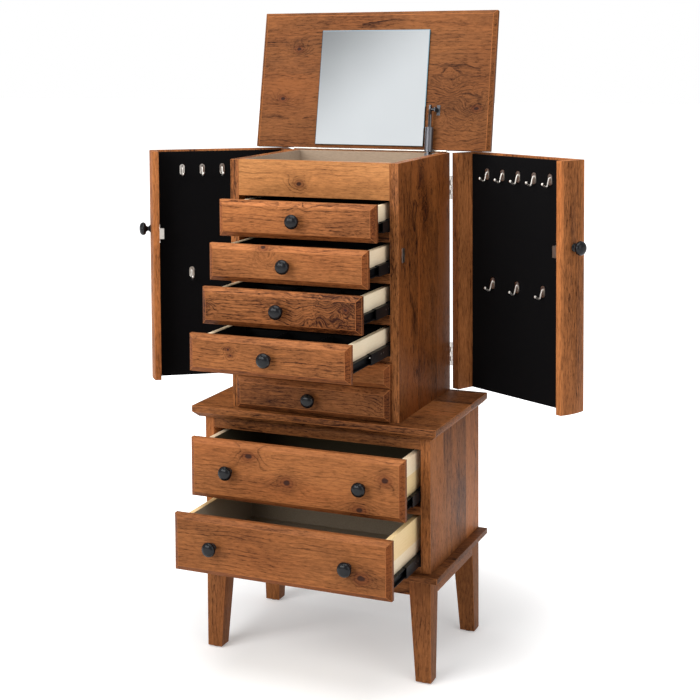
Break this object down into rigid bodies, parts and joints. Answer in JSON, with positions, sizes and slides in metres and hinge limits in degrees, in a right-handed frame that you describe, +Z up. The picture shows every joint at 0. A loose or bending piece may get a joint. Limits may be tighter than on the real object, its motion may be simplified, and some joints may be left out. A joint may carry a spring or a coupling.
{
  "type": "jewellery armoire with mirror",
  "caption": "Free-standing jewellery armoire on tapered legs: drawer chest below, drawer cabinet above with swing-out necklace doors and a flip-up mirror lid.",
  "frame": {"origin": "on the floor, midway between the sides and midway through the cabinet's depth", "axes": "+Z up, front faces -Y, +X to the right seen from the front"},
  "size_m": [1.0936, 0.684, 1.4568],
  "materials": {
    "walnut": "satin lacquer",
    "poplar": "clear lacquer",
    "black_metal": "satin black",
    "black_steel": "black zinc",
    "nickel": "brushed",
    "gunmetal": "satin",
    "mirror": "silvered glass",
    "felt": "black velvet",
    "lining": "felt",
    "glide": "matte"
  },
  "bodies": {
    "case": {"legs": "walnut", "glides": "glide", "aprons": "walnut", "base_plate": "walnut", "base_sides": "walnut", "base_frame": "walnut", "base_top": "walnut", "cabinet_sides": "walnut", "back_panels": "walnut", "false_front": "walnut", "cabinet_rails": "walnut", "tray_lining": "lining", "slide_case_members": "black_steel", "stay_foot": "gunmetal", "cabinet_hardware": "nickel"},
    "lid": {"lid_board": "walnut", "lid_mirror": "mirror", "lid_fittings": "nickel"},
    "stay_cylinder": {"stay_cylinder": "gunmetal"},
    "stay_rod": {"stay_rod": "gunmetal"},
    "right_door": {"right_door_frame": "walnut", "right_door_lining": "felt", "right_door_metalwork": "nickel", "right_door_knob": "black_metal"},
    "left_door": {"left_door_frame": "walnut", "left_door_lining": "felt", "left_door_metalwork": "nickel", "left_door_knob": "black_metal"},
    "drawer_1": {"drawer_1_front": "walnut", "drawer_1_box": "poplar", "drawer_1_knob_and_runners": "black_metal"},
    "drawer_1_slide_middles": {"drawer_1_slide_middles": "black_steel"},
    "drawer_2": {"drawer_2_front": "walnut", "drawer_2_box": "poplar", "drawer_2_knob_and_runners": "black_metal"},
    "drawer_2_slide_middles": {"drawer_2_slide_middles": "black_steel"},
    "drawer_3": {"drawer_3_front": "walnut", "drawer_3_box": "poplar", "drawer_3_knob_and_runners": "black_metal"},
    "drawer_3_slide_middles": {"drawer_3_slide_middles": "black_steel"},
    "drawer_4": {"drawer_4_front": "walnut", "drawer_4_box": "poplar", "drawer_4_knob_and_runners": "black_metal"},
    "drawer_4_slide_middles": {"drawer_4_slide_middles": "black_steel"},
    "drawer_5": {"drawer_5_front": "walnut", "drawer_5_box": "poplar", "drawer_5_knob_and_runners": "black_metal"},
    "drawer_5_slide_middles": {"drawer_5_slide_middles": "black_steel"},
    "drawer_6": {"drawer_6_front": "walnut", "drawer_6_box": "poplar", "drawer_6_knob_and_runners": "black_metal"},
    "drawer_6_slide_middles": {"drawer_6_slide_middles": "black_steel"},
    "base_drawer_1": {"base_drawer_1_front": "walnut", "base_drawer_1_box": "poplar", "base_drawer_1_knob_and_runners": "black_metal"},
    "base_drawer_1_slide_middles": {"base_drawer_1_slide_middles": "black_steel"},
    "base_drawer_2": {"base_drawer_2_front": "walnut", "base_drawer_2_box": "poplar", "base_drawer_2_knob_and_runners": "black_metal"},
    "base_drawer_2_slide_middles": {"base_drawer_2_slide_middles": "black_steel"}
  },
  "joints": [
    {"name": "lid_hinge", "type": "hinge", "parent": "case", "child": "lid", "pos_m": [0, 0.1635, 1.128], "axis": [1, 0, 0], "range_deg": [0, 101.1]},
    {"name": "stay_pivot", "type": "hinge", "parent": "case", "child": "stay_cylinder", "pos_m": [0.155, 0.148, 1.117], "axis": [1, 0, 0], "range_deg": [0, 103.43]},
    {"name": "stay_slide", "type": "slide", "parent": "stay_cylinder", "child": "stay_rod", "axis": [0, 0.153, 0.9882], "range_m": [-0.02911, 0]},
    {"name": "right_door_hinge", "type": "hinge", "parent": "case", "child": "right_door", "pos_m": [0.2015, 0.176, 0.8455], "axis": [0, 0, 1], "range_deg": [-61.4, 53.6]},
    {"name": "left_door_hinge", "type": "hinge", "parent": "case", "child": "left_door", "pos_m": [-0.2015, 0.176, 0.8455], "axis": [0, 0, -1], "range_deg": [-55.5, 59.5]},
    {"name": "drawer_1_slide", "type": "slide", "parent": "case", "child": "drawer_1", "axis": [0, -1, 0], "range_m": [-0.076, 0.154]},
    {"name": "drawer_1_middles_slide", "type": "slide", "parent": "case", "child": "drawer_1_slide_middles", "axis": [0, -1, 0], "range_m": [-0.038, 0.077]},
    {"name": "drawer_2_slide", "type": "slide", "parent": "case", "child": "drawer_2", "axis": [0, -1, 0], "range_m": [-0.125, 0.105]},
    {"name": "drawer_2_middles_slide", "type": "slide", "parent": "case", "child": "drawer_2_slide_middles", "axis": [0, -1, 0], "range_m": [-0.0625, 0.0525]},
    {"name": "drawer_3_slide", "type": "slide", "parent": "case", "child": "drawer_3", "axis": [0, -1, 0], "range_m": [-0.1595, 0.0705]},
    {"name": "drawer_3_middles_slide", "type": "slide", "parent": "case", "child": "drawer_3_slide_middles", "axis": [0, -1, 0], "range_m": [-0.07975, 0.03525]},
    {"name": "drawer_4_slide", "type": "slide", "parent": "case", "child": "drawer_4", "axis": [0, -1, 0], "range_m": [-0.2195, 0.0105]},
    {"name": "drawer_4_middles_slide", "type": "slide", "parent": "case", "child": "drawer_4_slide_middles", "axis": [0, -1, 0], "range_m": [-0.10975, 0.00525]},
    {"name": "drawer_5_slide", "type": "slide", "parent": "case", "child": "drawer_5", "axis": [0, -1, 0], "range_m": [0, 0.23]},
    {"name": "drawer_5_middles_slide", "type": "slide", "parent": "case", "child": "drawer_5_slide_middles", "axis": [0, -1, 0], "range_m": [0, 0.115]},
    {"name": "drawer_6_slide", "type": "slide", "parent": "case", "child": "drawer_6", "axis": [0, -1, 0], "range_m": [0, 0.23]},
    {"name": "drawer_6_middles_slide", "type": "slide", "parent": "case", "child": "drawer_6_slide_middles", "axis": [0, -1, 0], "range_m": [0, 0.115]},
    {"name": "base_drawer_1_slide", "type": "slide", "parent": "case", "child": "base_drawer_1", "axis": [0, -1, 0], "range_m": [-0.0925, 0.1375]},
    {"name": "base_drawer_1_middles_slide", "type": "slide", "parent": "case", "child": "base_drawer_1_slide_middles", "axis": [0, -1, 0], "range_m": [-0.04625, 0.06875]},
    {"name": "base_drawer_2_slide", "type": "slide", "parent": "case", "child": "base_drawer_2", "axis": [0, -1, 0], "range_m": [-0.1715, 0.0585]},
    {"name": "base_drawer_2_middles_slide", "type": "slide", "parent": "case", "child": "base_drawer_2_slide_middles", "axis": [0, -1, 0], "range_m": [-0.08575, 0.02925]}
  ],
  "couplings": [
    {"joint": "stay_pivot", "follows": "lid_hinge", "ratio": 1.0229},
    {"joint": "stay_slide", "follows": "lid_hinge", "m_per_rad": -0.016494},
    {"joint": "drawer_1_middles_slide", "follows": "drawer_1_slide", "ratio": 0.5},
    {"joint": "drawer_2_middles_slide", "follows": "drawer_2_slide", "ratio": 0.5},
    {"joint": "drawer_3_middles_slide", "follows": "drawer_3_slide", "ratio": 0.5},
    {"joint": "drawer_4_middles_slide", "follows": "drawer_4_slide", "ratio": 0.5},
    {"joint": "drawer_5_middles_slide", "follows": "drawer_5_slide", "ratio": 0.5},
    {"joint": "drawer_6_middles_slide", "follows": "drawer_6_slide", "ratio": 0.5},
    {"joint": "base_drawer_1_middles_slide", "follows": "base_drawer_1_slide", "ratio": 0.5},
    {"joint": "base_drawer_2_middles_slide", "follows": "base_drawer_2_slide", "ratio": 0.5}
  ]
}
